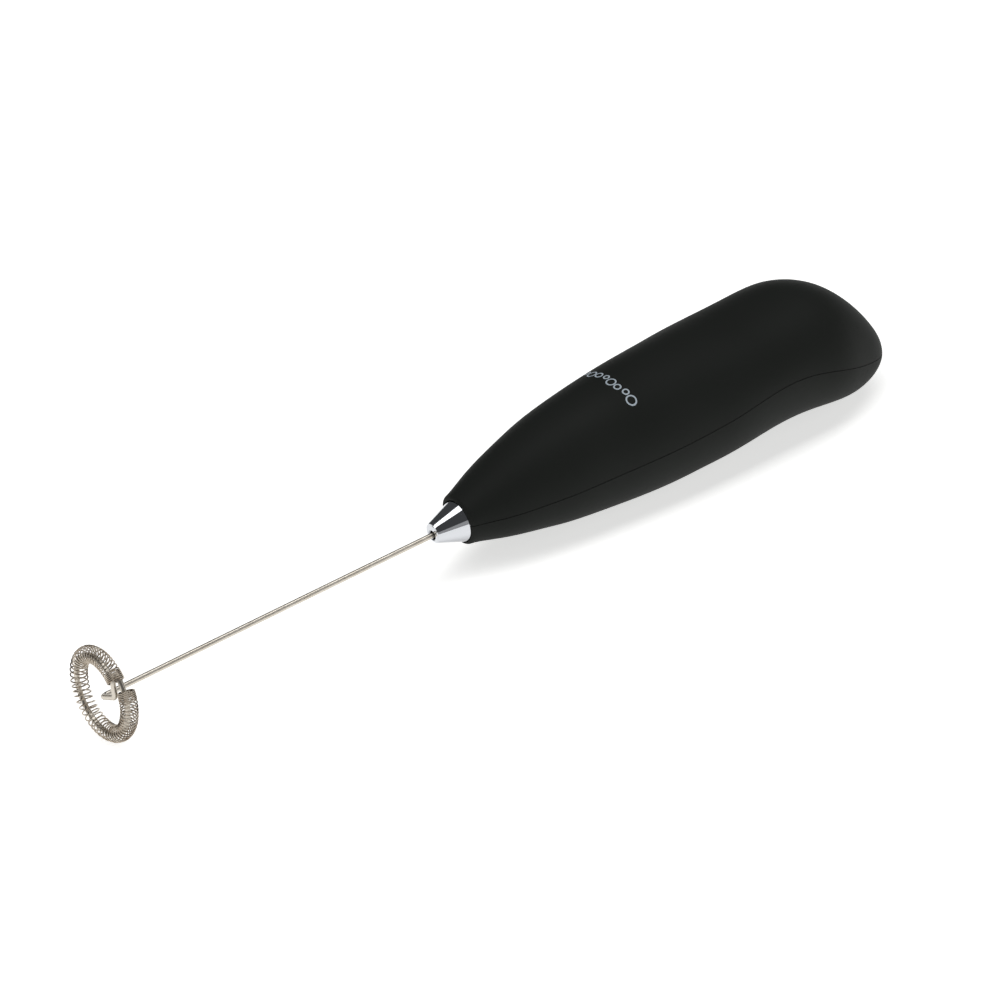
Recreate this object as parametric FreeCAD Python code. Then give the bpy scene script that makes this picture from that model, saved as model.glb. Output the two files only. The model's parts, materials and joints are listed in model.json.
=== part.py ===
"""Battery-powered milk frother: a slim two-shell handle that holds a small motor and two AA cells,
and a long steel whisk with a coil spring round its hoop.

Millimetres.  +Z is up and +X runs along the whisk shaft from the hoop to the tail of the handle.
The modelling frame has its origin at the centre of the hoop, on the shaft's axis; each finished
shape is then moved by TO_ROW, so that the exported origin is the bottom centre of the whole frother.
"""
import FreeCAD, Part
import math
import os

from FreeCAD import Rotation, Vector

os.makedirs("parts", exist_ok=True)

X_AXIS = Vector(1, 0, 0)
Y_AXIS = Vector(0, 1, 0)
Z_AXIS = Vector(0, 0, 1)

# ---------------------------------------------------------------- driving dimensions

NOSE_X = 97.5                 # hoop plane to the front of the handle
HANDLE_LENGTH = 122.9
AXIS_HEIGHT = 12.1            # shaft axis above the table that the frother lies on
BBOX_MIDDLE_X = 109.0         # hoop plane to the middle of the whole frother
WALL = 1.5                    # handle shells
PARTING_GAP = 0.16            # between the two shells
LAP = 0.8                     # height of the step in the joint between the shells
LAP_INSET = 0.75              # depth of that step from the outside
ROUNDNESS = 2.15              # superellipse exponent of the handle's cross-section
FIT_GAP = 0.15                # between pieces that slide past each other

# Handle outline: distance behind the nose, half width, top and underside from the shaft axis.
OUTLINE = [
    (0.0, 5.8, 6.3, -5.4),
    (6.5, 8.0, 9.0, -6.5),
    (13.0, 10.0, 11.5, -7.9),
    (21.0, 11.8, 14.1, -9.3),
    (31.0, 13.5, 16.4, -10.7),
    (43.0, 15.0, 17.9, -11.7),
    (55.0, 16.2, 18.7, -12.1),
    (67.0, 16.9, 19.1, -11.8),
    (79.0, 17.0, 19.1, -11.1),
    (89.0, 16.9, 19.4, -10.4),
    (98.0, 17.4, 19.6, -10.6),
    (105.0, 16.3, 18.0, -11.6),
    (110.5, 14.0, 14.8, -12.1),
    (115.2, 11.7, 10.2, -11.3),
    (118.9, 9.3, 5.3, -9.1),
    (121.6, 6.0, 0.8, -5.8),
]
TAIL_TIP_Z = -2.6
TAIL_START = 105.0            # the tail rounds off from here
# Height of the joint line between the shells: distance behind the nose, height from the axis.
PARTING = [
    (-8.0, 1.5), (0.0, 1.5), (13.0, 1.6), (31.0, 2.3), (55.0, 3.4), (67.0, 4.4), (79.0, 6.1),
    (86.0, 6.5), (92.5, 6.0), (98.0, 4.7), (104.0, 2.5), (110.5, -0.4), (117.0, -2.9), (130.0, -5.0),
]

# Whisk
WIRE_R = 0.65                 # whisk shaft and hoop wire
HOOP_R = 9.4                  # hoop's centre line
HOOP_TILT = 4.3               # the hoop's top leans towards the handle, degrees
HOOP_MIDDLE = Vector(0.2, 0.3, 0.3)
HOOP_LEAD = 1.5               # how far the hoop wire climbs along X in a full turn
COIL_R = 2.1                  # outside of the spring round the hoop
COIL_WALL = 0.35
COIL_START = 135.4            # angle from +Y towards +Z where the spring begins, degrees
COIL_SWEEP = 343.3
COIL_LEAD = 1.3
COIL_X = -0.62

# Motor, a small flat-sided can 25 mm long
MOTOR_X = 24.0                # behind the nose
MOTOR_R = 8.2
MOTOR_FLAT = 6.3               # half the height across the flats
CAN_LENGTH = 23.0
CAP_LENGTH = 2.0
MOTOR_SHAFT_R = 1.0
RUNNING_GAP = 0.05

# Cells
CELL_R = 7.1
CELL_LENGTH = 49.0
NUB_LENGTH = 1.0
CELL_Y = 7.25
CELL_Z = 4.0
TRAY_X = 51.9
TRAY_END = 107.6

# Switch button in the thumb saddle of the underside
BUTTON_X = 89.5
BUTTON_R = 3.6
BUTTON_TRAVEL = 1.0
BUTTON_FACE_Z = -11.4

TO_ROW = Vector(-BBOX_MIDDLE_X, 0, AXIS_HEIGHT)


# ---------------------------------------------------------------- helpers

def at(x, y=0.0, z=0.0):
    """A point given by its distance behind the nose."""
    return Vector(NOSE_X + x, y, z)


def box(x0, x1, y0, y1, z0, z1):
    return Part.makeBox(x1 - x0, y1 - y0, z1 - z0, at(x0, y0, z0))


def rod(radius, x0, x1, y=0.0, z=0.0):
    """A cylinder along X."""
    return Part.makeCylinder(radius, x1 - x0, at(x0, y, z), X_AXIS)


def post(radius, x, y, z0, z1):
    """A cylinder along Z."""
    return Part.makeCylinder(radius, z1 - z0, at(x, y, z0), Z_AXIS)


def tube(outer, inner, x0, x1):
    return rod(outer, x0, x1).cut(rod(inner, x0 - 1, x1 + 1))


def turned(profile):
    """A solid turned about the shaft axis from (distance behind the nose, radius) points."""
    points = [at(x, 0, r) for x, r in profile]
    face = Part.Face(Part.makePolygon(points + points[:1]))
    return face.revolve(at(0), X_AXIS, 360)


def rounded_path(points, radii):
    """Straight runs joined by tangent arcs, one radius for each inner point."""
    edges = []
    start = points[0]
    for before, corner, after, radius in zip(points, points[1:], points[2:], radii):
        u = (before - corner).normalize()
        v = (after - corner).normalize()
        half_turn = (math.pi - u.getAngle(v)) / 2
        reach = radius * math.tan(half_turn)
        first = corner + u * reach
        last = corner + v * reach
        inwards = (u + v).normalize()
        middle = corner + inwards * (radius / math.cos(half_turn) - radius)
        if (first - start).Length > 1e-6:
            edges.append(Part.LineSegment(start, first).toShape())
        edges.append(Part.Arc(first, middle, last).toShape())
        start = last
    if (points[-1] - start).Length > 1e-6:
        edges.append(Part.LineSegment(start, points[-1]).toShape())
    return Part.Wire(edges)


def pipe(path, radius):
    """A round wire along a path."""
    edge = path.Edges[0]
    start = edge.FirstParameter
    ring = Part.Wire(Part.makeCircle(radius, edge.valueAt(start), edge.tangentAt(start)))
    return path.makePipeShell([ring], True, True)


def on_hoop(shape_or_point):
    """Moves something drawn round the shaft axis to where the leaning hoop is."""
    lean = FreeCAD.Placement(HOOP_MIDDLE, Rotation(Y_AXIS, HOOP_TILT))
    if isinstance(shape_or_point, Vector):
        return lean.multVec(shape_or_point)
    return shape_or_point.transformed(lean.toMatrix())


def around_hoop(lead, start_angle, sweep, start_x):
    """A helix of the hoop's radius about the shaft axis, running clockwise from start_angle."""
    helix = Part.makeLongHelix(lead, lead * sweep / 360, HOOP_R, 0, True)
    helix.Placement = FreeCAD.Placement(Vector(), Rotation(Vector(1, 1, 1), 120))
    helix = helix.copy()
    helix.rotate(Vector(), X_AXIS, start_angle)
    helix.translate(Vector(start_x, 0, 0))
    return helix


def spline(points):
    """A smooth curve through (x, y) points, drawn flat."""
    curve = Part.BSplineCurve()
    curve.interpolate([Vector(x, y, 0) for x, y in points])
    return curve


def height(curve, x):
    """Height of a flat curve at x, where the curve passes over each x once."""
    low = curve.FirstParameter
    high = curve.LastParameter
    rising = curve.value(high).x > curve.value(low).x
    for halving in range(40):
        middle = (low + high) / 2
        if (curve.value(middle).x < x) == rising:
            low = middle
        else:
            high = middle
    return curve.value(low).y


def both_sides(curve):
    """An outline cut at its furthest point along X: its first run and its last."""
    steps = 2000
    span = curve.LastParameter - curve.FirstParameter
    furthest = max(range(steps + 1), key=lambda i: curve.value(curve.FirstParameter + span * i / steps).x)
    split = curve.FirstParameter + span * furthest / steps
    first = curve.copy()
    first.segment(curve.FirstParameter, split)
    last = curve.copy()
    last.segment(split, curve.LastParameter)
    return first, last


def inset(curve, distance):
    """The curve moved sideways, towards the inside of the outline that it goes round clockwise."""
    steps = 60
    points = []
    for i in range(steps + 1):
        u = curve.FirstParameter + (curve.LastParameter - curve.FirstParameter) * i / steps
        p = curve.value(u)
        t = curve.tangent(u)[0]
        points.append((p.x + t.y * distance, p.y - t.x * distance))
    return spline(points)


# ---------------------------------------------------------------- handle form

PLAN = spline(
    [(x, w) for x, w, top, under in OUTLINE]
    + [(HANDLE_LENGTH, 0)]
    + [(x, -w) for x, w, top, under in reversed(OUTLINE)]
)
SIDE = spline(
    [(x, top) for x, w, top, under in OUTLINE]
    + [(HANDLE_LENGTH, TAIL_TIP_Z)]
    + [(x, under) for x, w, top, under in reversed(OUTLINE)]
)
JOINT_LINE = spline(PARTING)


def joint_height(x):
    return height(JOINT_LINE, x)


def section(x, half_width, top, under):
    """The handle's superellipse section, whose upper and lower halves meet at the joint line."""
    level = min(max(joint_height(x), under + 0.3 * (top - under)), under + 0.7 * (top - under))
    count = 32
    points = []
    for i in range(count):
        angle = 2 * math.pi * i / count
        c = math.cos(angle)
        s = math.sin(angle)
        y = half_width * math.copysign(abs(c) ** (2 / ROUNDNESS), c)
        reach = top - level if s > 0 else level - under
        z = level + reach * math.copysign(abs(s) ** (2 / ROUNDNESS), s)
        points.append(at(x, y, z))
    curve = Part.BSplineCurve()
    curve.interpolate(points, PeriodicFlag=True)
    return Part.Wire(curve.toShape())


def form(distance, x0):
    """The handle's form, taken in by a distance all round, from x0 to its tail."""
    plan = both_sides(inset(PLAN, distance))[0]
    top, under = both_sides(inset(SIDE, distance))
    end = HANDLE_LENGTH - distance
    stations = [x0] + [row[0] for row in OUTLINE if x0 + 1 < row[0] <= TAIL_START]
    steps = 9
    tail = end - TAIL_START
    stations += [TAIL_START + tail * math.sin(math.pi / 2 * i / steps) for i in range(1, steps)]
    stations += [end - 0.02]
    rings = [section(x, height(plan, x), height(top, x), height(under, x)) for x in stations]
    return Part.makeLoft(rings, True, False)


def under_joint(offset):
    """Everything under the joint line moved up by offset."""
    xs = [-7.0 + 3.0 * i for i in range(46)]
    curve = Part.BSplineCurve()
    curve.interpolate([at(x, -30, joint_height(x) + offset) for x in xs])
    low = -40
    ends = [at(xs[-1], -30, low), at(xs[0], -30, low)]
    edges = [
        curve.toShape(),
        Part.LineSegment(curve.value(curve.LastParameter), ends[0]).toShape(),
        Part.LineSegment(ends[0], ends[1]).toShape(),
        Part.LineSegment(ends[1], curve.value(curve.FirstParameter)).toShape(),
    ]
    return Part.Face(Part.Wire(edges)).extrude(Vector(0, 60, 0))


def over_joint(offset):
    """Everything over the joint line moved up by offset."""
    return box(-7.0, 127.0, -30, 30, -39, 40).cut(under_joint(offset))


# ---------------------------------------------------------------- handle shells

CAVITY_X = 3.2                # where the hollow of the handle starts, behind the nose
LIP_RADIUS = 1.0              # rounding of the nose's front edge
CONE_R = 5.05
CONE_Z = 0.45                 # the cone sits in the middle of the handle's nose, above the shaft's axis
CONE_SEAT_R = CONE_R + FIT_GAP
CONE_GROOVE = (1.4, 2.4)      # groove round the cone that a rib of the shells grips
CONE_GROOVE_R = 4.3
RIB_THICKNESS = 1.2


def outer_form():
    whole = form(0, 0.0)
    front = [edge for edge in whole.Edges if edge.BoundBox.XMax < NOSE_X + 0.1]
    rim = [edge for edge in front if edge.BoundBox.YLength > CONE_R]
    return whole.makeFillet(LIP_RADIUS, rim)


def nose_seat(groove_gap):
    """The bore that the cone sits in, less the rib that grips the cone's groove."""
    start, end = CONE_GROOVE
    bore = rod(CONE_SEAT_R, -1, CAVITY_X + 0.6)
    rib = tube(CONE_SEAT_R + 1, CONE_GROOVE_R + groove_gap, start + RUNNING_GAP, end - RUNNING_GAP)
    return bore.cut(rib).translated(Vector(0, 0, CONE_Z))


def switch_seat():
    """Raised ring inside the lower shell round the button's hole."""
    return post(BUTTON_R + 2.2, BUTTON_X, 0, -9.6, -8.1)


def screw_bosses():
    bosses = [post(2.4, x, y, -11.2, TRAY_FLOOR_Z) for x, y in SCREW_PLACES]
    return bosses[0].multiFuse(bosses[1:])


def body_shell(outer, hollow, lap_form):
    below = outer.common(under_joint(-PARTING_GAP / 2))
    step = lap_form.common(under_joint(LAP))
    extras = switch_seat().fuse(screw_bosses()).common(outer)
    shell = below.fuse(step).cut(hollow).fuse(extras)
    hole = post(BUTTON_R + FIT_GAP, BUTTON_X, 0, -14, -7)
    pilots = [post(0.75, x, y, -9.6, TRAY_FLOOR_Z + 1) for x, y in SCREW_PLACES]
    return shell.cut(nose_seat(0)).cut(hole.multiFuse(pilots))


def cover_ribs(inner):
    """Two cross ribs that keep the cells down."""
    ribs = []
    for x in (62.0, 96.0):
        slab = box(x, x + RIB_THICKNESS, -20, 20, CELL_Z + 3.5, 22)
        ribs.append(slab.common(inner).cut(cell_spaces(CELL_R + 0.4)))
    return ribs


def cover_tongues(inner):
    """Locating tongues that reach down inside the lower shell, two in front and one at the tail."""
    front = [box(17, 21, y0, y0 + 1.0, -1.5, 9.5) for y0 in (7.6, -8.6)]
    tail = box(113.2, 114.2, -4, 4, -5.0, 11.0)
    return [tongue.common(inner) for tongue in front + [tail]]


def battery_cover(outer, hollow, lap_space, inner):
    shell = outer.common(over_joint(PARTING_GAP / 2))
    shell = shell.cut(lap_space.common(under_joint(LAP + PARTING_GAP))).cut(hollow)
    shell = shell.multiFuse(cover_ribs(inner) + cover_tongues(inner))
    return shell.cut(nose_seat(0.1))


# ---------------------------------------------------------------- nose

CONE_LENGTH = 7.2
CONE_TIP_R = 2.5
CONE_HOLE_R = 1.1
BUSH_R = 3.2


def nose_cone():
    """Turned cone, bored on the shaft's axis for the shaft and for the bush behind it."""
    start, end = CONE_GROOVE
    base_end = 3.4
    edge = 0.45
    tip = -CONE_LENGTH
    profile = [
        (tip, 0),
        (tip, CONE_TIP_R - edge),
        (tip + edge * 0.3, CONE_TIP_R - edge * 0.3),
        (tip + edge, CONE_TIP_R + 0.05),
        (-0.2, CONE_R - 0.12),
        (0.3, CONE_R),
        (start, CONE_R),
        (start, CONE_GROOVE_R),
        (end, CONE_GROOVE_R),
        (end, CONE_R),
        (base_end, CONE_R),
        (base_end, 0),
    ]
    cone = turned(profile).translated(Vector(0, 0, CONE_Z))
    mouth = rod(CONE_HOLE_R + 0.2, tip - 1, tip + 0.25)
    return cone.cut(mouth.multiFuse([rod(CONE_HOLE_R, tip - 1, 0), rod(BUSH_R, -1.5, base_end + 1)]))


def nose_bush():
    return tube(BUSH_R, WIRE_R + RUNNING_GAP, -1.4, 6.0)


# ---------------------------------------------------------------- whisk

COUPLING_X = (8.5, 20.0)
COUPLING_SPLIT_X = 14.2       # the two shafts meet here inside the sleeve
SPOKE_CORNER = (-5.95, 2.7)   # Y and Z where the spoke turns towards the hoop
SPOKE_KNEE = (-5.65, 7.74)
HOOP_START = 112.0            # angle where the wire reaches the hoop's circle, degrees
SPOKE_X = -0.45
HOOP_X = -1.15
HOOP_TUCK = 349.0             # the wire's free end tucks in beside its start


def whisk_shaft():
    """One wire: down the axis, out along a spoke, once round the hoop and tucked into the spring."""
    angle = math.radians(HOOP_START)
    joint = on_hoop(Vector(HOOP_X, HOOP_R * math.cos(angle), HOOP_R * math.sin(angle)))
    corner = Vector(SPOKE_X, *SPOKE_CORNER)
    knee = Vector(SPOKE_X, *SPOKE_KNEE)
    path = rounded_path(
        [at(COUPLING_SPLIT_X), Vector(SPOKE_X, 0, 0), corner, knee, joint],
        [1.3, 1.3, 3.6],
    )
    hoop = on_hoop(around_hoop(HOOP_LEAD, HOOP_START, HOOP_TUCK, HOOP_X))
    return pipe(path, WIRE_R).fuse(pipe(hoop, WIRE_R))


def whisk_coil():
    """The spring round the hoop, as the plain sleeve that its turns fill."""
    line = on_hoop(around_hoop(COIL_LEAD, COIL_START, COIL_SWEEP, COIL_X))
    return pipe(line, COIL_R).cut(pipe(line, COIL_R - COIL_WALL))


def coupling_sleeve():
    start, end = COUPLING_X
    sleeve = rod(2.6, start, end).cut(rod(WIRE_R, start - 1, COUPLING_SPLIT_X))
    return sleeve.cut(rod(MOTOR_SHAFT_R, COUPLING_SPLIT_X, end + 1))


# ---------------------------------------------------------------- motor

CAN_END = MOTOR_X + CAN_LENGTH
MOTOR_END = CAN_END + CAP_LENGTH
CORE_X = (MOTOR_X + 5.0, MOTOR_X + 16.5)
CORE_R = 5.5
MAGNET_R = (5.9, 7.35)
SHOE_THICKNESS = 0.8
COMMUTATOR_X = (CORE_X[1] + 2.2, CAN_END - 1.6)
COMMUTATOR_R = 2.0
BOSS_R = 2.9
BEARING_R = 2.0


def flat_sided(radius, flat, x0, x1):
    return rod(radius, x0, x1).common(box(x0, x1, -20, 20, -flat, flat))


def motor_can():
    boss = rod(BOSS_R, MOTOR_X - 1.5, MOTOR_X + 0.5)
    outside = flat_sided(MOTOR_R, MOTOR_FLAT, MOTOR_X, CAN_END).fuse(boss)
    inside = flat_sided(MOTOR_R - 0.8, MOTOR_FLAT - 0.7, MOTOR_X + 0.8, CAN_END + 1)
    return outside.cut(inside).cut(rod(BEARING_R, MOTOR_X - 2, MOTOR_X + 2))


def motor_end_cap():
    plug = flat_sided(MOTOR_R - 0.8, MOTOR_FLAT - 0.7, CAN_END - 1.5, CAN_END)
    plug = plug.cut(flat_sided(MOTOR_R - 2.0, MOTOR_FLAT - 1.9, CAN_END - 2, CAN_END))
    plate = flat_sided(MOTOR_R, MOTOR_FLAT, CAN_END, MOTOR_END)
    boss = rod(BOSS_R, MOTOR_END, MOTOR_END + 0.9)
    return plug.fuse(plate).fuse(boss).cut(rod(BEARING_R, CAN_END - 1, MOTOR_END + 1))


def front_bearing():
    return tube(BEARING_R, MOTOR_SHAFT_R + RUNNING_GAP, MOTOR_X - 1.5, MOTOR_X + 1.6)


def rear_bearing():
    return tube(BEARING_R, MOTOR_SHAFT_R + RUNNING_GAP, CAN_END, MOTOR_END + 0.9)


def motor_magnets():
    inner, outer = MAGNET_R
    ring = tube(outer, inner, CORE_X[0] - 1.5, CORE_X[1] + 1.5)
    window = flat_sided(MOTOR_R, 4.4, MOTOR_X, CAN_END)
    return ring.common(window)


def pole_blocks(x0, x1, r0, r1, half_width):
    """Three blocks about the shaft, one for each armature pole."""
    block = box(x0, x1, -half_width, half_width, r0, r1)
    return [block.rotated(at(0), X_AXIS, 120 * i) for i in range(3)]


def armature_core():
    x0, x1 = CORE_X
    hub = rod(1.9, x0, x1)
    shoes = tube(CORE_R, CORE_R - SHOE_THICKNESS, x0, x1)
    gaps = pole_blocks(x0 - 1, x1 + 1, -7, -3, 0.9)
    necks = pole_blocks(x0, x1, 1.2, CORE_R - 0.5, 0.8)
    core = hub.multiFuse(necks + [shoes.cut(gaps[0].multiFuse(gaps[1:]))])
    return core.cut(rod(MOTOR_SHAFT_R, x0 - 1, x1 + 1))


def armature_windings():
    """One coil round each pole, from the hub out to the pole shoes."""
    x0, x1 = CORE_X
    room = rod(CORE_R - SHOE_THICKNESS - 0.05, x0 - 5, x1 + 5)
    outsides = pole_blocks(x0 - 1.6, x1 + 1.6, 2.0, CORE_R, 1.9)
    necks = pole_blocks(x0, x1, 1, 7, 0.8)
    return Part.makeCompound([outside.cut(neck).common(room) for outside, neck in zip(outsides, necks)])


def commutator():
    x0, x1 = COMMUTATOR_X
    drum = rod(COMMUTATOR_R, x0, x1)
    slots = pole_blocks(x0 - 1, x1 + 1, 1.6, 3, 0.15)
    return drum.cut(rod(MOTOR_SHAFT_R, x0 - 1, x1 + 1)).cut(slots[0].multiFuse(slots[1:]))


def motor_brushes():
    """A carbon block above and below the commutator, each on its spring arm from the end cap."""
    x0, x1 = COMMUTATOR_X
    pieces = []
    for side in (1, -1):
        near = COMMUTATOR_R + 0.1
        carbon = box(x0 + 0.5, x1 - 0.3, -1.1, 1.1, near, near + 1.6)
        arm = box(x0 + 0.5, CAN_END - 0.05, -1.0, 1.0, near + 1.6, near + 1.9)
        brush = carbon.fuse(arm)
        pieces.append(brush if side == 1 else brush.rotated(at(0), X_AXIS, 180))
    return Part.makeCompound(pieces)


def motor_shaft():
    return rod(MOTOR_SHAFT_R, COUPLING_SPLIT_X, MOTOR_END + 0.7)


TERMINAL_Y = 5.6
TERMINAL_END = MOTOR_END + 2.4


def motor_terminals():
    tabs = []
    for y in (TERMINAL_Y, -TERMINAL_Y):
        tabs.append(box(MOTOR_END, TERMINAL_END, y - 0.2, y + 0.2, -1.2, 1.2))
    return Part.makeCompound(tabs)


def capacitor():
    """Ceramic disc that quiets the motor, glued to the end cap under the boss."""
    disc = rod(2.0, MOTOR_END, MOTOR_END + 1.5, 0, -5.1)
    return disc.makeFillet(0.4, [edge for edge in disc.Edges if edge.BoundBox.XLength < 0.1])


def motor_saddle(inner):
    """Soft cradle between the motor and the floor of the lower shell."""
    block = box(MOTOR_X + 1.5, CAN_END - 1.5, -12, 12, -12, -3.5).common(inner)
    return block.cut(flat_sided(MOTOR_R, MOTOR_FLAT, MOTOR_X, CAN_END))


# ---------------------------------------------------------------- battery bay

TRAY_WALL = 1.2
TRAY_FLOOR_Z = -4.4
TRAY_TOP_Z = 9.6
PLATE = 0.4                   # contact sheet
SPRING_TURNS = 3
SPRING_LENGTH = 1.9           # pressed between the contact sheet and the cell
SPRING_WIRE_R = 0.25
SPRING_TIP_R = 1.6
SPRING_BASE_R = 4.0
PLATE_CLEARANCE = SPRING_WIRE_R + 0.02
TAB_Z = 6.8
FRONT_PLATE_X = TRAY_X + TRAY_WALL
REAR_PLATE_X = TRAY_END - TRAY_WALL
SCREW_PLACES = [(110.6, 5.5), (110.6, -5.5)]


def cell_spaces(radius):
    left, right = [rod(radius, FRONT_PLATE_X, REAR_PLATE_X, y, CELL_Z) for y in (CELL_Y, -CELL_Y)]
    return left.fuse(right)


def battery_tray(inner):
    block = box(TRAY_X, TRAY_END, -16, 16, TRAY_FLOOR_Z, TRAY_TOP_Z)
    bay = box(FRONT_PLATE_X, REAR_PLATE_X, -16, 16, CELL_Z - 1.5, 20)
    ear = box(TRAY_END - 0.5, 113.0, -8, 8, TRAY_FLOOR_Z, TRAY_FLOOR_Z + 1.4)
    tray = block.cut(bay).cut(cell_spaces(CELL_R + 0.15)).fuse(ear).common(inner)
    holes = [post(1.1, x, y, TRAY_FLOOR_Z - 1, 0) for x, y in SCREW_PLACES]
    slots = []
    for y in (CELL_Y, -CELL_Y):
        slots.append(box(TRAY_X - 1, FRONT_PLATE_X + 1, y - 1.6, y + 1.6, TAB_Z - 0.4, TRAY_TOP_Z + 1))
    return tray.cut(holes[0].multiFuse(holes[1:] + slots + [rear_bridge_plate()]))


def cell(x0, y, nub_first):
    """An AA cell: sleeve, rolled shoulders, positive nub and a slightly sunken negative end."""
    length = CELL_LENGTH
    profile = [
        (0.0, 0), (0.0, 4.4), (0.25, 4.7), (0.25, CELL_R - 0.9), (0.0, CELL_R - 0.6), (0.35, CELL_R),
        (length - 0.35, CELL_R), (length, CELL_R - 0.6), (length - 0.2, CELL_R - 1.3), (length - 0.2, 3.6),
        (length + 0.1, 2.75), (length + NUB_LENGTH, 2.7), (length + NUB_LENGTH, 0),
    ]
    solid = turned([(x + x0, r) for x, r in profile])
    if nub_first:
        middle = at(x0 + (length + NUB_LENGTH) / 2)
        solid = solid.rotated(middle, Z_AXIS, 180)
    return solid.translated(Vector(0, y, CELL_Z))


def tab(y):
    """Solder tab that reaches through the tray's front wall."""
    return box(TRAY_X - 1.0, FRONT_PLATE_X + PLATE, y - 1.2, y + 1.2, TAB_Z, TAB_Z + PLATE)


def front_contact(y):
    plate = box(FRONT_PLATE_X, FRONT_PLATE_X + PLATE, y - 5.0, y + 5.0, CELL_Z - 4.0, TAB_Z + PLATE)
    return plate.fuse(tab(y))


def rear_bridge_plate():
    return box(REAR_PLATE_X - PLATE, REAR_PLATE_X, -12.4, 12.4, CELL_Z - 4.0, CELL_Z + 4.0)


def contact_spring(x, y, direction):
    """Conical spring between a contact plate and a cell's negative end."""
    points = []
    steps = 12 * SPRING_TURNS
    for i in range(steps + 1):
        share = i / steps
        turn = 2 * math.pi * SPRING_TURNS * share
        radius = SPRING_TIP_R + (SPRING_BASE_R - SPRING_TIP_R) * share
        reach = PLATE_CLEARANCE + SPRING_LENGTH * (1 - share)
        across = radius * math.cos(turn)
        points.append(at(x - direction * reach, y + across, CELL_Z + radius * math.sin(turn)))
    curve = Part.BSplineCurve()
    curve.interpolate(points)
    return pipe(Part.Wire(curve.toShape()), SPRING_WIRE_R)


# ---------------------------------------------------------------- switch and leads

LEAF_Z = -6.3
LEAF_THICKNESS = 0.25
FIXED_CONTACT_Z = LEAF_Z + LEAF_THICKNESS + BUTTON_TRAVEL
SWITCH_BLOCK_X = (70.0, 75.5)
LEAD_R = 0.55


def switch_button():
    """Round push button with a stop flange and a pin that meets the leaf."""
    cap = post(BUTTON_R, BUTTON_X, 0, BUTTON_FACE_Z, -7.6)
    face = [edge for edge in cap.Edges if edge.BoundBox.ZMax < BUTTON_FACE_Z + 0.1]
    cap = cap.makeFillet(0.6, face)
    flange = post(4.8, BUTTON_X, 0, -7.95, -7.25)
    pin = post(1.2, BUTTON_X, 0, -7.3, LEAF_Z - 0.05)
    return cap.fuse(flange).fuse(pin)


def switch_leaf():
    return box(SWITCH_BLOCK_X[0] - 0.8, BUTTON_X + 2.5, -2, 2, LEAF_Z, LEAF_Z + LEAF_THICKNESS)


def switch_contact():
    low = FIXED_CONTACT_Z + 0.1
    strip = box(SWITCH_BLOCK_X[0] - 0.8, BUTTON_X + 1.5, -1.5, 1.5, low, low + LEAF_THICKNESS)
    dimple = post(0.8, BUTTON_X, 0, FIXED_CONTACT_Z + 0.02, FIXED_CONTACT_Z + 0.2)
    return strip.fuse(dimple)


def switch_block(inner):
    start, end = SWITCH_BLOCK_X
    block = box(start, end, -4, 4, -11, TRAY_FLOOR_Z - 0.05).common(inner)
    return block.cut(switch_leaf()).cut(switch_contact())


def motor_to_switch_lead():
    x = TRAY_X - 0.9
    y = -TERMINAL_Y - 0.2 - LEAD_R
    points = [
        at(x, y, 1.0), at(x, y, -6.6), at(62.0, -5.6, -7.2),
        at(SWITCH_BLOCK_X[0] - 0.9, -1.0, LEAF_Z - LEAD_R),
    ]
    return pipe(rounded_path(points, [3.4, 9.0]), LEAD_R)


def switch_to_battery_lead():
    """Runs inwards from the tab, past the motor's terminal, and on under the tray to the switch."""
    x = TRAY_X - 0.9
    y = -4.65
    end_z = FIXED_CONTACT_Z + 0.1 - LEAD_R
    points = [
        at(x, -6.3, TAB_Z - 0.25), at(x, y, 3.2), at(x, y, -6.4), at(61.0, -2.0, -6.6),
        at(SWITCH_BLOCK_X[0] - 0.9, 1.0, end_z),
    ]
    return pipe(rounded_path(points, [4.0, 3.4, 8.0]), LEAD_R)


def battery_to_motor_lead():
    x = TRAY_X - 0.9
    y = TERMINAL_Y + 0.2 + LEAD_R
    return pipe(rounded_path([at(x, y, TAB_Z), at(x, y + 0.4, 3.0), at(x, y, -0.8)], [12.0]), LEAD_R)


def tray_screws():
    screws = []
    for x, y in SCREW_PLACES:
        seat = TRAY_FLOOR_Z + 1.4
        shank = post(0.75, x, y, seat - 5.5, seat)
        head = post(1.9, x, y, seat, seat + 1.2)
        slot = box(x - 1.5, x + 1.5, y - 0.2, y + 0.2, seat + 0.7, seat + 2)
        rim = [edge for edge in head.Edges if edge.BoundBox.ZMin > seat + 1.1]
        screws.append(head.makeFillet(0.4, rim).cut(slot).fuse(shank))
    return Part.makeCompound(screws)


# ---------------------------------------------------------------- all the pieces

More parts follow.
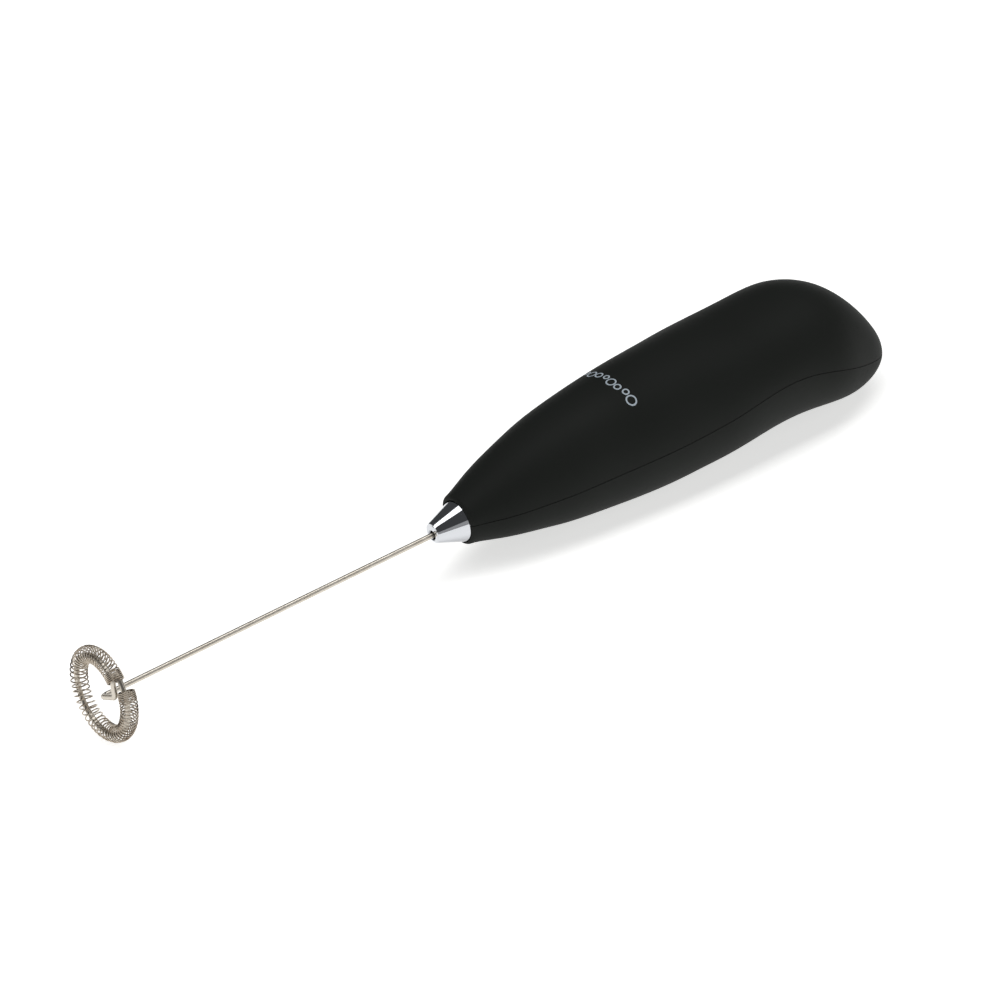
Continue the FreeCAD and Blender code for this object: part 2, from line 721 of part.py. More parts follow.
def pieces():
    outer = outer_form()
    hollow = form(WALL, CAVITY_X)
    inner = form(WALL + 0.1, CAVITY_X)
    into_wall = form(WALL - 0.5, CAVITY_X)
    left_start = FRONT_PLATE_X + PLATE
    right_start = REAR_PLATE_X - PLATE - CELL_LENGTH - NUB_LENGTH
    return {
        "body_shell": body_shell(outer, hollow, form(LAP_INSET + 0.08, CAVITY_X)),
        "battery_cover": battery_cover(outer, hollow, form(LAP_INSET - 0.08, CAVITY_X), into_wall),
        "nose_cone": nose_cone(),
        "nose_bush": nose_bush(),
        "whisk_shaft": whisk_shaft(),
        "whisk_coil": whisk_coil(),
        "coupling_sleeve": coupling_sleeve(),
        "motor_shaft": motor_shaft(),
        "armature_core": armature_core(),
        "armature_windings": armature_windings(),
        "commutator": commutator(),
        "motor_can": motor_can(),
        "motor_end_cap": motor_end_cap(),
        "front_bearing": front_bearing(),
        "rear_bearing": rear_bearing(),
        "motor_magnets": motor_magnets(),
        "motor_brushes": motor_brushes(),
        "motor_terminals": motor_terminals(),
        "capacitor": capacitor(),
        "motor_saddle": motor_saddle(inner),
        "battery_tray": battery_tray(inner),
        "left_cell": cell(left_start, CELL_Y, True),
        "right_cell": cell(right_start, -CELL_Y, False),
        "front_positive_contact": front_contact(CELL_Y),
        "front_negative_contact": front_contact(-CELL_Y),
        "front_spring": contact_spring(left_start, -CELL_Y, -1),
        "rear_bridge_plate": rear_bridge_plate(),
        "rear_spring": contact_spring(REAR_PLATE_X - PLATE, CELL_Y, 1),
        "switch_button": switch_button(),
        "switch_leaf": switch_leaf(),
        "switch_contact": switch_contact(),
        "switch_block": switch_block(inner),
        "motor_to_switch_lead": motor_to_switch_lead(),
        "switch_to_battery_lead": switch_to_battery_lead(),
        "battery_to_motor_lead": battery_to_motor_lead(),
        "tray_screws": tray_screws(),
    }


for node, shape in pieces().items():
    shape.translated(TO_ROW).exportStep("parts/" + node + ".step")
    if not shape.isValid():
        print("not a valid solid:", node)
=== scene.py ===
"""Looks of a battery-powered milk frother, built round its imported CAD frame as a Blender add-on.

Metres.  +X runs along the whisk shaft from the hoop to the tail of the handle, +Z is up.
"""
import json
import math

import bpy
from bpy.props import FloatProperty, FloatVectorProperty, IntProperty, PointerProperty
from mathutils import Matrix, Vector


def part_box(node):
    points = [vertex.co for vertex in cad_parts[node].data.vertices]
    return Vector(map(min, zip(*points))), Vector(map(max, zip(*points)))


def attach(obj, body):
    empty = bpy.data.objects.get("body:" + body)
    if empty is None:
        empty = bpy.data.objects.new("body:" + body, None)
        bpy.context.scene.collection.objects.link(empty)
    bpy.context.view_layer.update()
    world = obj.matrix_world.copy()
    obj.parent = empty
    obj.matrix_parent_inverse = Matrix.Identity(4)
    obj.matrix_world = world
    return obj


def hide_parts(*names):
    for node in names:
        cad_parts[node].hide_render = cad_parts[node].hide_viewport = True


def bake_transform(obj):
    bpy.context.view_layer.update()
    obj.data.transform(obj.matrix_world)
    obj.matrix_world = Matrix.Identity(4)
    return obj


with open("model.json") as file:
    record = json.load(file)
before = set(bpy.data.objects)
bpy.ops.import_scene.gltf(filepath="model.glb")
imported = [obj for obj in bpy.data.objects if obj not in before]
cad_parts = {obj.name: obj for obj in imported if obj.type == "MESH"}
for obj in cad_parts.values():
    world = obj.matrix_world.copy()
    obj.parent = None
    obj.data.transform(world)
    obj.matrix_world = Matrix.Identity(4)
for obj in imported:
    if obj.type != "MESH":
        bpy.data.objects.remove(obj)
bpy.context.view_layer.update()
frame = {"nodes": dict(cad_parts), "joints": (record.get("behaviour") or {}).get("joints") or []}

MM = 0.001
AXIS_Z = frame["joints"][0]["pos_m"][2]      # height of the whisk's shaft above the table
HOOP_MIDDLE = Vector((-0.1088, 0.0003, AXIS_Z + 0.0003))
HOOP_TILT = math.radians(4.3)                # the hoop's top leans towards the handle
RIPPLE_SCALE = 250                           # wave-texture scale that sets its bands about 1.3 mm apart
CELL_BAND_SHARE = 0.72                       # where a cell's band begins, along it from its negative end

bl_info = {
    "name": "Milk Frother",
    "version": (1, 0, 0),
    "blender": (4, 5, 0),
    "location": "View3D > Sidebar > Frother",
    "description": "Gives a hand-held milk frother its whisk spring, printed mark, finishes and studio",
    "category": "Object",
}


# ---------------------------------------------------------------- colours

def linear(hex_colour):
    """Linear red, green, blue and alpha of an sRGB colour written as six hex digits."""
    channels = [int(hex_colour[i:i + 2], 16) / 255 for i in (0, 2, 4)]
    return [c / 12.92 if c <= 0.04045 else ((c + 0.055) / 1.055) ** 2.4 for c in channels] + [1.0]


def colour(label, hex_colour):
    return FloatVectorProperty(
        name=label, description=label + " colour", subtype="COLOR", size=4, min=0, max=1,
        default=linear(hex_colour),
    )


def length(label, description, millimetres):
    return FloatProperty(
        name=label, description=description, default=millimetres * MM, unit="LENGTH", precision=5,
    )


# ---------------------------------------------------------------- settings

class FrotherFinishes(bpy.types.PropertyGroup):
    """Colours of the frother's surfaces."""
    shell: colour("Handle shell", "1F211F")
    shell_worn: colour("Handled patches of the shell", "222422")
    chrome: colour("Chrome plate", "CBCDD1")
    wire: colour("Stainless wire", "D2CCC2")
    spring: colour("Spring wire", "C8BFB2")
    print_ink: colour("Printed mark", "BCC8D2")
    wire_tint: colour("Heat tint of the wire", "C9C1B4")
    spring_tint: colour("Heat tint of the spring", "908170")
    nickel: colour("Nickel-plated strip", "CFC8BB")
    zinc: colour("Zinc-plated steel", "C3C7CC")
    copper: colour("Copper wire", "B86A3C")
    brass: colour("Brass", "C9A45C")
    bronze: colour("Phosphor bronze strip", "BD8450")
    sintered: colour("Sintered bronze", "8A6A44")
    steel: colour("Ground steel", "B5B7BA")
    ferrite: colour("Ferrite magnets", "2B2B2D")
    carbon: colour("Carbon brushes", "1B1B1C")
    ceramic: colour("Dipped capacitor", "B5722B")
    rubber: colour("Rubber saddle", "161616")
    nylon: colour("White nylon", "E6E4DC")
    tray: colour("Battery tray", "1E1F20")
    cell_sleeve: colour("Cell sleeve", "1C2A38")
    cell_band: colour("Cell band", "C98B3A")
    lead_black: colour("Black lead", "151515")
    lead_red: colour("Red lead", "A31914")
    table: colour("Table", "F7F7F6")


class FrotherSpring(bpy.types.PropertyGroup):
    """Sizes of the spring wound round the whisk's hoop."""
    hoop_radius: length("Hoop radius", "Radius of the hoop's centre line", 9.4)
    coil_radius: length("Coil radius", "Outside radius of the spring", 2.1)
    wire_radius: length("Wire radius", "Radius of the spring's wire", 0.17)
    turns: IntProperty(
        name="Turns", description="Open turns between the close-wound ends", default=50, min=10,
    )
    end_turns: IntProperty(
        name="End turns", description="Close-wound turns at each end", default=6, min=1,
    )
    start_angle: FloatProperty(
        name="Start angle", description="Where the spring begins, from +Y towards +Z",
        default=math.radians(135.4), unit="ROTATION",
    )
    sweep: FloatProperty(
        name="Sweep", description="How far round the hoop the spring runs",
        default=math.radians(343.3), unit="ROTATION",
    )
    start_x: length("Start offset", "Where the spring begins in front of the hoop's middle", -0.62)
    rise: length("Rise", "How far the spring climbs towards the handle from end to end", 1.24)


class FrotherPrint(bpy.types.PropertyGroup):
    """Printed row of froth bubbles across the cover."""
    behind_nose: length("Distance", "From the front of the handle to the row", 45.7)
    half_row: length("Half row", "Half the length of the row across the handle", 8.2)
    bubble_radius: length("Bubble radius", "Radius of the largest bubble", 1.3)
    stroke: length("Stroke", "Width of a printed line", 0.36)
    bubbles: IntProperty(name="Bubbles", description="Number of bubbles in the row", default=8, min=2)


# ---------------------------------------------------------------- small tools

def select_only(piece):
    bpy.ops.object.select_all(action="DESELECT")
    piece.select_set(True)
    bpy.context.view_layer.objects.active = piece


def settle(piece):
    """Puts the piece's place, turn and scale into its mesh."""
    select_only(piece)
    bpy.ops.object.transform_apply(location=True, rotation=True, scale=True)


def give(piece, material):
    piece.data.materials.clear()
    piece.data.materials.append(material)


def add_node(tree, kind, inputs=None, links=None, **settings):
    """Adds a node with its settings, the values on its sockets and the links into them."""
    made = tree.nodes.new(kind)
    for name, value in settings.items():
        setattr(made, name, value)
    for name, value in (inputs or {}).items():
        made.inputs[name].default_value = value
    for name, source in (links or {}).items():
        tree.links.new(source, made.inputs[name])
    return made


def start_material(name, base, **shader_inputs):
    """A material with its shader's constant sockets set, its tree, its shader and object coordinates."""
    material = bpy.data.materials.new(name)
    material.use_nodes = True
    tree = material.node_tree
    shader = tree.nodes["Principled BSDF"]
    shader.inputs["Base Color"].default_value = base
    for socket, value in shader_inputs.items():
        shader.inputs[socket.replace("_", " ")].default_value = value
    place = add_node(tree, "ShaderNodeTexCoord").outputs["Object"]
    return material, tree, shader, place


def grain(tree, place, size_mm, detail=2.0, stretch=(1, 1, 1)):
    """Noise whose grains are size_mm across, longer along an axis whose stretch is less than 1."""
    mapped = add_node(tree, "ShaderNodeMapping", inputs={"Scale": stretch}, links={"Vector": place})
    noise = add_node(
        tree, "ShaderNodeTexNoise", inputs={"Scale": 1 / (size_mm * MM), "Detail": detail},
        links={"Vector": mapped.outputs["Vector"]},
    )
    return noise.outputs["Fac"]


def spread(tree, value, low, high):
    """Stretches noise between two values."""
    return add_node(
        tree, "ShaderNodeMapRange", links={"Value": value},
        inputs={"From Min": 0.3, "From Max": 0.7, "To Min": low, "To Max": high},
    ).outputs["Result"]


def ripples(tree, place, direction, distortion):
    """Fine parallel bands."""
    return add_node(
        tree, "ShaderNodeTexWave", wave_type="BANDS", bands_direction=direction,
        inputs={"Scale": RIPPLE_SCALE, "Distortion": distortion}, links={"Vector": place},
    ).outputs["Fac"]


def bump(tree, shader, value, depth_mm, strength=1.0):
    relief = add_node(
        tree, "ShaderNodeBump", links={"Height": value},
        inputs={"Strength": strength, "Distance": depth_mm * MM},
    )
    tree.links.new(relief.outputs["Normal"], shader.inputs["Normal"])


def vary_colour(tree, shader, value, first, second):
    """Runs the shader's colour from first to second as value goes from 0 to 1."""
    mix = add_node(tree, "ShaderNodeMix", data_type="RGBA", links={"Factor": value})
    mix.inputs["A"].default_value = first
    mix.inputs["B"].default_value = second
    tree.links.new(mix.outputs["Result"], shader.inputs["Base Color"])


def vary_roughness(tree, shader, value, low, high):
    tree.links.new(spread(tree, value, low, high), shader.inputs["Roughness"])


def shade(base, factor):
    """The colour made lighter or darker by a factor."""
    return [min(1.0, c * factor) for c in base[:3]] + [1.0]


# ---------------------------------------------------------------- materials

def moulded_soft_abs(name, base, handled):
    """ABS moulded in a spark-eroded tool: an even dull sheen from grit of about 0.1 mm, drawn at 0.25 mm
    so that it shows, with faint smoother patches where hands have polished it."""
    material, tree, shader, place = start_material(name, base, IOR=1.5, Specular_IOR_Level=0.07)
    patches = grain(tree, place, 26, 1.0)
    vary_colour(tree, shader, spread(tree, patches, 0, 1), base, handled)
    vary_roughness(tree, shader, patches, 0.64, 0.56)
    bump(tree, shader, grain(tree, place, 0.25, 1.0), 0.012, 0.35)
    return material


def polished_chrome(name, base):
    """Bright chrome plate on turned brass: mirror sharp, with the faintest trace of turning rings, drawn
    about 1.3 mm apart, and light wipe marks in its roughness."""
    material, tree, shader, place = start_material(name, base, Metallic=1.0)
    vary_roughness(tree, shader, grain(tree, place, 1.5), 0.04, 0.10)
    bump(tree, shader, ripples(tree, place, "X", 0.4), 0.001, 0.25)
    return material


def drawn_wire(name, base, heat_tint, roughness, streak_mm):
    """Stainless steel wire pulled through a die: bright, with fine lengthwise streaks and a little
    heat tint in clouds 3 mm across."""
    material, tree, shader, place = start_material(name, base, Metallic=1.0)
    vary_colour(tree, shader, spread(tree, grain(tree, place, 3.0), 0, 1), base, heat_tint)
    streaks = grain(tree, place, streak_mm, 2.0, stretch=(0.04, 1, 1))
    vary_roughness(tree, shader, streaks, roughness, roughness + 0.12)
    return material


def plated_sheet(name, base, roughness=0.3):
    """Plated steel or strip: soft metallic glow, mottled over a few millimetres by the plating bath."""
    material, tree, shader, place = start_material(name, base, Metallic=1.0)
    vary_roughness(tree, shader, grain(tree, place, 2.2, 4.0), roughness, roughness + 0.15)
    bump(tree, shader, grain(tree, place, 0.3), 0.004, 0.3)
    return material


def moulded_plastic(name, base, roughness=0.42):
    """Small injection-moulded part: even colour, slight orange peel 0.6 mm across."""
    material, tree, shader, place = start_material(name, base, IOR=1.49)
    peel = grain(tree, place, 0.6, 1.0)
    vary_roughness(tree, shader, peel, roughness, roughness + 0.1)
    bump(tree, shader, peel, 0.01, 0.3)
    return material


def screen_ink(name, base):
    """Pad-printed ink: thin, matt and slightly open where the shell's grain shows through."""
    material, tree, shader, place = start_material(name, base, IOR=1.5, Specular_IOR_Level=0.3)
    openness = grain(tree, place, 0.25, 2.0)
    vary_colour(tree, shader, spread(tree, openness, 0, 0.6), base, shade(base, 0.7))
    vary_roughness(tree, shader, openness, 0.45, 0.6)
    return material


def printed_sleeve(name, sleeve, band, band_x, forward):
    """Shrink-wrapped PVC sleeve of a cell: glossy and dark, with a coloured band at the positive end."""
    material, tree, shader, place = start_material(
        name, sleeve, IOR=1.53, Coat_Weight=0.4, Coat_Roughness=0.08,
    )
    along = add_node(tree, "ShaderNodeSeparateXYZ", links={"Vector": place}).outputs["X"]
    past_edge = add_node(
        tree, "ShaderNodeMath", operation="GREATER_THAN" if forward else "LESS_THAN",
        inputs={1: band_x}, links={0: along},
    ).outputs["Value"]
    vary_colour(tree, shader, past_edge, sleeve, band)
    vary_roughness(tree, shader, grain(tree, place, 3.0), 0.16, 0.26)
    return material


def soft_rubber(name, base, roughness):
    """Moulded rubber or PVC insulation: dull, with a fine dusty grain 0.5 mm across."""
    material, tree, shader, place = start_material(name, base, IOR=1.52, Specular_IOR_Level=0.4)
    dust = grain(tree, place, 0.5, 3.0)
    vary_roughness(tree, shader, dust, roughness, roughness + 0.15)
    bump(tree, shader, dust, 0.01, 0.3)
    return material


def pressed_powder(name, base, size_mm):
    """Sintered or pressed powder: grainy, dull and slightly speckled."""
    material, tree, shader, place = start_material(name, base, Specular_IOR_Level=0.4)
    speck = grain(tree, place, size_mm, 3.0)
    vary_colour(tree, shader, spread(tree, speck, 0, 1), base, shade(base, 1.6))
    vary_roughness(tree, shader, speck, 0.55, 0.75)
    bump(tree, shader, speck, 0.02, 0.4)
    return material


def wound_copper(name, base):
    """Enamelled copper windings: glossy, in bundles of turns drawn about 1.5 mm apart."""
    material, tree, shader, place = start_material(
        name, base, Metallic=1.0, Coat_Weight=0.5, Coat_Roughness=0.1,
    )
    turns = ripples(tree, place, "DIAGONAL", 1.0)
    vary_roughness(tree, shader, turns, 0.2, 0.4)
    bump(tree, shader, turns, 0.05, 0.6)
    return material


def opal_table(name, base, glow):
    """Opal acrylic light table, lit from below so that shadows stay faint: even, with a barely visible
    mottle a few centimetres across."""
    material, tree, shader, place = start_material(
        name, base, IOR=1.45, Specular_IOR_Level=0.1, Emission_Color=base, Emission_Strength=glow,
    )
    mottle = grain(tree, place, 40)
    vary_colour(tree, shader, spread(tree, mottle, 0, 1), base, shade(base, 0.985))
    vary_roughness(tree, shader, mottle, 0.7, 0.8)
    return material


# ---------------------------------------------------------------- operators

class FROTHER_OT_shells(bpy.types.Operator):
    """Gives the two handle shells and the button their moulded finish"""
    bl_idname = "frother.shells"
    bl_label = "Handle shells"

    def execute(self, context):
        finish = context.scene.frother_finishes
        shell = moulded_soft_abs("Soft_Moulded_ABS_Black", finish.shell, finish.shell_worn)
        for name in ("body_shell", "battery_cover", "switch_button"):
            give(frame["nodes"][name], shell)
        return {"FINISHED"}


class FROTHER_OT_nose(bpy.types.Operator):
    """Plates the nose cone and gives the bush inside it its acetal finish"""
    bl_idname = "frother.nose"
    bl_label = "Nose cone and bush"

    def execute(self, context):
        finish = context.scene.frother_finishes
        give(frame["nodes"]["nose_cone"], polished_chrome("Polished_Chrome_Plate", finish.chrome))
        give(frame["nodes"]["nose_bush"], moulded_plastic("Turned_Acetal_White", finish.nylon))
        return {"FINISHED"}


def coil_points(size):
    """Centre line of the spring: a helix wound round the hoop, close at its ends and uneven between."""
    points_per_turn = 22
    close_pitch = 2.08 * size.wire_radius / size.hoop_radius     # radians; neighbouring turns just miss
    widest_share = 0.44                                          # where along the spring it crowds most
    crowding = 0.034                                             # share of the open sweep
    open_sweep = size.sweep - 2 * size.end_turns * close_pitch
    mean_radius = size.coil_radius - size.wire_radius
    total_turns = size.turns + 2 * size.end_turns
    lean = Matrix.Translation(HOOP_MIDDLE) @ Matrix.Rotation(HOOP_TILT, 4, "Y")
    points = []
    for i in range(total_turns * points_per_turn + 1):
        turn = i / points_per_turn
        share = min(max((turn - size.end_turns) / size.turns, 0), 1)
        closed = min(turn, size.end_turns) + max(turn - size.end_turns - size.turns, 0)
        # The open turns spread widest on the far side of the hoop and crowd towards the spring's end.
        shift = crowding * (
            math.sin(2 * math.pi * (share - widest_share)) + math.sin(2 * math.pi * widest_share)
        )
        travelled = closed * close_pitch + open_sweep * (share + shift)
        # Between its ends the turns stand a little unevenly and lean by differing amounts.
        looseness = math.sin(math.pi * share) ** 0.5
        uneven = looseness * (0.5 * math.sin(turn * 1.7) + 0.5 * math.sin(turn * 0.73 + 1.0))
        slant = looseness * (0.10 + 0.08 * math.sin(turn * 0.9))
        radius = mean_radius - 0.05 * MM * abs(uneven)
        outward = radius * math.cos(2 * math.pi * turn)
        forward = radius * math.sin(2 * math.pi * turn)
        angle = size.start_angle - travelled - 0.011 * uneven - slant * forward / size.hoop_radius
        reach = size.hoop_radius + outward
        x = size.start_x + size.rise * travelled / size.sweep + forward
        points.append(lean @ Vector((x, reach * math.cos(angle), reach * math.sin(angle))))
    return points


class FROTHER_OT_whisk(bpy.types.Operator):
    """Winds the whisk's spring round the hoop and gives both wires their drawn finish"""
    bl_idname = "frother.whisk"
    bl_label = "Whisk and its spring"

    def execute(self, context):
        finish = context.scene.frother_finishes
        size = context.scene.frother_spring
        give(frame["nodes"]["whisk_shaft"], drawn_wire(
            "Drawn_Stainless_Wire", finish.wire, finish.wire_tint, 0.3, 0.15,
        ))
        points = coil_points(size)
        line = bpy.data.curves.new("whisk_spring", "CURVE")
        line.dimensions = "3D"
        line.bevel_depth = size.wire_radius
        line.bevel_resolution = 2
        line.use_fill_caps = True
        wound = line.splines.new("POLY")
        wound.points.add(len(points) - 1)
        for point, place in zip(wound.points, points):
            point.co = (*place, 1)
        spring = bpy.data.objects.new("whisk_spring", line)
        context.scene.collection.objects.link(spring)
        select_only(spring)
        bpy.ops.object.convert(target="MESH")
        spring = context.view_layer.objects.active
        bpy.ops.object.shade_smooth()
        give(spring, drawn_wire(
            "Drawn_Spring_Wire_Tinted", finish.spring, finish.spring_tint, 0.05, 0.1,
        ))
        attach(spring, "whisk")
        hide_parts("whisk_coil")
        return {"FINISHED"}


class FROTHER_OT_printed_mark(bpy.types.Operator):
    """Prints a row of froth bubbles across the cover"""
    bl_idname = "frother.printed_mark"
    bl_label = "Printed bubbles"

    def execute(self, context):
        finish = context.scene.frother_finishes
        size = context.scene.frother_print
        cover = frame["nodes"]["battery_cover"]
        low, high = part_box("battery_cover")
        start_height = high.z + 2 * MM           # the rings are drawn above the cover, then laid on it
        ink_height = 0.02 * MM
        rings = []
        for i in range(size.bubbles):
            share = i / (size.bubbles - 1)
            y = size.half_row * (2 * share - 1)
            radius = size.bubble_radius * (0.8 + 0.2 * math.cos(i * 2.2))
            offset = 0.35 * MM * math.sin(i * 1.9)
            bpy.ops.object.select_all(action="DESELECT")
            bpy.ops.mesh.primitive_circle_add(
                vertices=40, radius=radius, fill_type="NGON",
                location=(low.x + size.behind_nose + offset, y, start_height),
            )
            ring = context.view_layer.objects.active
            bpy.ops.object.mode_set(mode="EDIT")
            bpy.ops.mesh.select_all(action="SELECT")
            bpy.ops.mesh.inset(thickness=size.stroke)
            bpy.ops.mesh.delete(type="FACE")
            bpy.ops.object.mode_set(mode="OBJECT")
            rings.append(ring)
        bpy.ops.object.select_all(action="DESELECT")
        for ring in rings:
            ring.select_set(True)
        context.view_layer.objects.active = rings[0]
        bpy.ops.object.join()
        mark = rings[0]
        mark.name = "printed_bubbles"
        settle(mark)
        wrap = mark.modifiers.new("onto_cover", "SHRINKWRAP")
        wrap.target = cover
        wrap.wrap_method = "PROJECT"
        wrap.use_project_z = True
        wrap.use_negative_direction = True
        wrap.use_positive_direction = False
        wrap.offset = ink_height
        select_only(mark)
        bpy.ops.object.modifier_apply(modifier=wrap.name)
        give(mark, screen_ink("Pad_Printed_Ink", finish.print_ink))
        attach(mark, "cover")
        return {"FINISHED"}


class FROTHER_OT_motor(bpy.types.Operator):
    """Finishes the motor and the coupling"""
    bl_idname = "frother.motor"
    bl_label = "Motor and coupling"

    def execute(self, context):
        finish = context.scene.frother_finishes
        zinc = plated_sheet("Zinc_Plated_Pressed_Steel", finish.zinc, 0.28)
        steel = plated_sheet("Ground_Steel", finish.steel, 0.2)
        brass = plated_sheet("Turned_Brass", finish.brass, 0.22)
        bronze = pressed_powder("Sintered_Bronze", finish.sintered, 0.2)
        finishes = {
            "motor_can": zinc, "tray_screws": zinc,
            "motor_shaft": steel, "armature_core": steel,
            "coupling_sleeve": brass, "motor_terminals": brass,
            "front_bearing": bronze, "rear_bearing": bronze,
            "armature_windings": wound_copper("Enamelled_Copper_Wound", finish.copper),
            "commutator": plated_sheet("Turned_Copper", finish.copper, 0.2),
            "motor_end_cap": moulded_plastic("Moulded_Nylon_White", finish.nylon),
            "motor_magnets": pressed_powder("Sintered_Ferrite", finish.ferrite, 0.25),
            "motor_brushes": pressed_powder("Pressed_Carbon", finish.carbon, 0.15),
            "capacitor": moulded_plastic("Dipped_Ceramic_Ochre", finish.ceramic, 0.3),
            "motor_saddle": soft_rubber("Moulded_Rubber_Black", finish.rubber, 0.6),
        }
        for name, material in finishes.items():
            give(frame["nodes"][name], material)
        return {"FINISHED"}


class FROTHER_OT_battery_bay(bpy.types.Operator):
    """Finishes the cells, their tray, contacts, switch and leads"""
    bl_idname = "frother.battery_bay"
    bl_label = "Battery bay"

    def execute(self, context):
        finish = context.scene.frother_finishes
        for name, forward in (("left_cell", False), ("right_cell", True)):
            low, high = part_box(name)
            share = CELL_BAND_SHARE if forward else 1 - CELL_BAND_SHARE
            band_x = low.x + share * (high.x - low.x)
            sleeve = printed_sleeve(
                "Printed_PVC_Sleeve_" + name, finish.cell_sleeve, finish.cell_band, band_x, forward,
            )
            give(frame["nodes"][name], sleeve)
        nickel = plated_sheet("Nickel_Plated_Strip", finish.nickel, 0.25)
        bronze_strip = plated_sheet("Rolled_Phosphor_Bronze", finish.bronze, 0.25)
        tray = moulded_plastic("Moulded_ABS_Charcoal", finish.tray)
        black_lead = soft_rubber("PVC_Insulation_Black", finish.lead_black, 0.4)
        finishes = {
            "front_positive_contact": nickel, "front_negative_contact": nickel, "front_spring": nickel,
            "rear_bridge_plate": nickel, "rear_spring": nickel,
            "switch_contact": bronze_strip,
            "battery_tray": tray, "switch_block": tray,
            "motor_to_switch_lead": black_lead, "switch_to_battery_lead": black_lead,
            "battery_to_motor_lead": soft_rubber("PVC_Insulation_Red", finish.lead_red, 0.4),
        }
        for name, material in finishes.items():
            give(frame["nodes"][name], material)
        return {"FINISHED"}


class FROTHER_OT_switch_leaf(bpy.types.Operator):
    """Makes the switch's spring leaf as a box in the place of the CAD leaf, cut into slices along its
    length
    """
    bl_idname = "frother.switch_leaf"
    bl_label = "Bending switch leaf"

    def execute(self, context):
        finish = context.scene.frother_finishes
        low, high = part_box("switch_leaf")
        bpy.ops.object.select_all(action="DESELECT")
        bpy.ops.mesh.primitive_cube_add(size=1, location=(low + high) / 2, scale=high - low)
        leaf = context.view_layer.objects.active
        leaf.name = "bending_switch_leaf"
        settle(leaf)
        pieces_along = 24
        bpy.ops.object.mode_set(mode="EDIT")
        for i in range(1, pieces_along):
            x = low.x + (high.x - low.x) * i / pieces_along
            bpy.ops.mesh.select_all(action="SELECT")
            bpy.ops.mesh.bisect(plane_co=(x, 0, low.z), plane_no=(1, 0, 0))
        bpy.ops.object.mode_set(mode="OBJECT")
        give(leaf, plated_sheet("Rolled_Spring_Bronze", finish.bronze, 0.25))
        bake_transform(leaf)
        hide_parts("switch_leaf")
        return {"FINISHED"}


def add_soft_box(name, place, aim, width, depth, watts):
    """A rectangular studio light that faces a point."""
    bpy.ops.object.light_add(type="AREA", location=place)
    lamp = bpy.context.view_layer.objects.active
    lamp.name = name
    lamp.data.shape = "RECTANGLE"
    lamp.data.size = width
    lamp.data.size_y = depth
    lamp.data.energy = watts
    lamp.rotation_euler = (Vector(place) - Vector(aim)).to_track_quat("Z", "Y").to_euler()


def add_camera():
    """Looks down on the whisk end from the near side with a long lens, rolled a few degrees."""
    elevation = math.radians(32.39)
    azimuth = math.radians(34.26)
    roll = math.radians(5.97)
    distance = 1.2661
    target = Vector((1.0, 0.3, 12.46)) * MM
    level = math.cos(elevation)
    back = Vector((-math.sin(azimuth) * level, -math.cos(azimuth) * level, math.sin(elevation)))
    right = Vector((0, 0, 1)).cross(back).normalized()
    up = back.cross(right)
    leaning_up = up * math.cos(roll) + right * math.sin(roll)
    leaning_right = right * math.cos(roll) - up * math.sin(roll)
    turn = Matrix((leaning_right, leaning_up, back)).transposed().to_4x4()
    bpy.ops.object.camera_add()
    camera = bpy.context.view_layer.objects.active
    camera.matrix_world = Matrix.Translation(target + back * distance) @ turn
    camera.data.sensor_width = 36
    camera.data.lens = 199.7
    camera.data.clip_end = 20
    bpy.context.scene.camera = camera


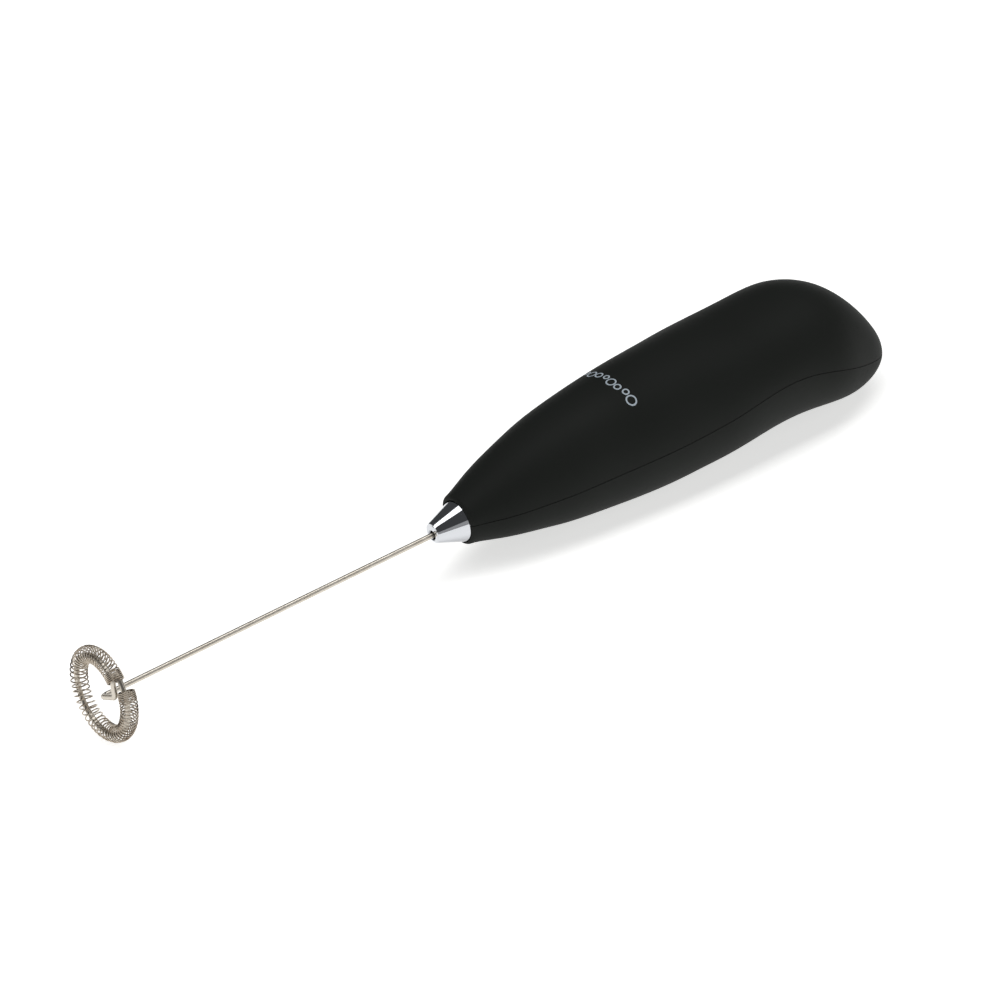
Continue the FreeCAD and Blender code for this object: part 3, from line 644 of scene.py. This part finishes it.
class FROTHER_OT_studio(bpy.types.Operator):
    """Lays the pale table and sets the soft lights and the camera"""
    bl_idname = "frother.studio"
    bl_label = "Studio"

    def execute(self, context):
        bpy.ops.object.select_all(action="DESELECT")
        bpy.ops.mesh.primitive_plane_add(size=6)
        table = context.view_layer.objects.active
        table.name = "table"
        give(table, opal_table("Opal_Acrylic_Lit", context.scene.frother_finishes.table, 0.7))
        add_soft_box("overhead_light", (0.0, 0.065, 1.0), (0, 0.065, 0), 2.4, 0.54, 10)
        add_soft_box("low_front_light", (-0.3, -1.5, 0.29), (0, 0, 0.05), 2.2, 0.5, 1.15)
        add_soft_box("side_light", (0.85, -1.15, 0.8), (0, 0, 0), 0.6, 1.0, 1.7)
        world = bpy.data.worlds.new("Grey_Room")
        world.use_nodes = True
        world.node_tree.nodes["Background"].inputs["Color"].default_value = linear("8C8E90")
        world.node_tree.nodes["Background"].inputs["Strength"].default_value = 0.25
        context.scene.world = world
        context.scene.view_settings.view_transform = "Standard"
        add_camera()
        return {"FINISHED"}


class FROTHER_PT_sidebar(bpy.types.Panel):
    """Lists the frother's sizes, colours and pieces"""
    bl_idname = "FROTHER_PT_sidebar"
    bl_label = "Milk frother"
    bl_space_type = "VIEW_3D"
    bl_region_type = "UI"
    bl_category = "Frother"

    def draw(self, context):
        layout = self.layout
        for key in GROUPS:
            group = getattr(context.scene, key)
            column = layout.column(align=True)
            for name in group.__annotations__:
                column.prop(group, name)
        for operator in OPERATORS:
            layout.operator(operator.bl_idname)


GROUPS = {
    "frother_spring": FrotherSpring,
    "frother_print": FrotherPrint,
    "frother_finishes": FrotherFinishes,
}
OPERATORS = (
    FROTHER_OT_shells,
    FROTHER_OT_nose,
    FROTHER_OT_whisk,
    FROTHER_OT_printed_mark,
    FROTHER_OT_motor,
    FROTHER_OT_battery_bay,
    FROTHER_OT_switch_leaf,
    FROTHER_OT_studio,
)


def register():
    for cls in (*GROUPS.values(), *OPERATORS, FROTHER_PT_sidebar):
        bpy.utils.register_class(cls)
    for name, group in GROUPS.items():
        setattr(bpy.types.Scene, name, PointerProperty(type=group))


def unregister():
    for name in GROUPS:
        delattr(bpy.types.Scene, name)
    for cls in reversed((*GROUPS.values(), *OPERATORS, FROTHER_PT_sidebar)):
        bpy.utils.unregister_class(cls)


def main():
    register()
    bpy.ops.frother.shells()
    bpy.ops.frother.nose()
    bpy.ops.frother.whisk()
    bpy.ops.frother.printed_mark()
    bpy.ops.frother.motor()
    bpy.ops.frother.battery_bay()
    bpy.ops.frother.switch_leaf()
    bpy.ops.frother.studio()


if __name__ == "__main__":
    main()
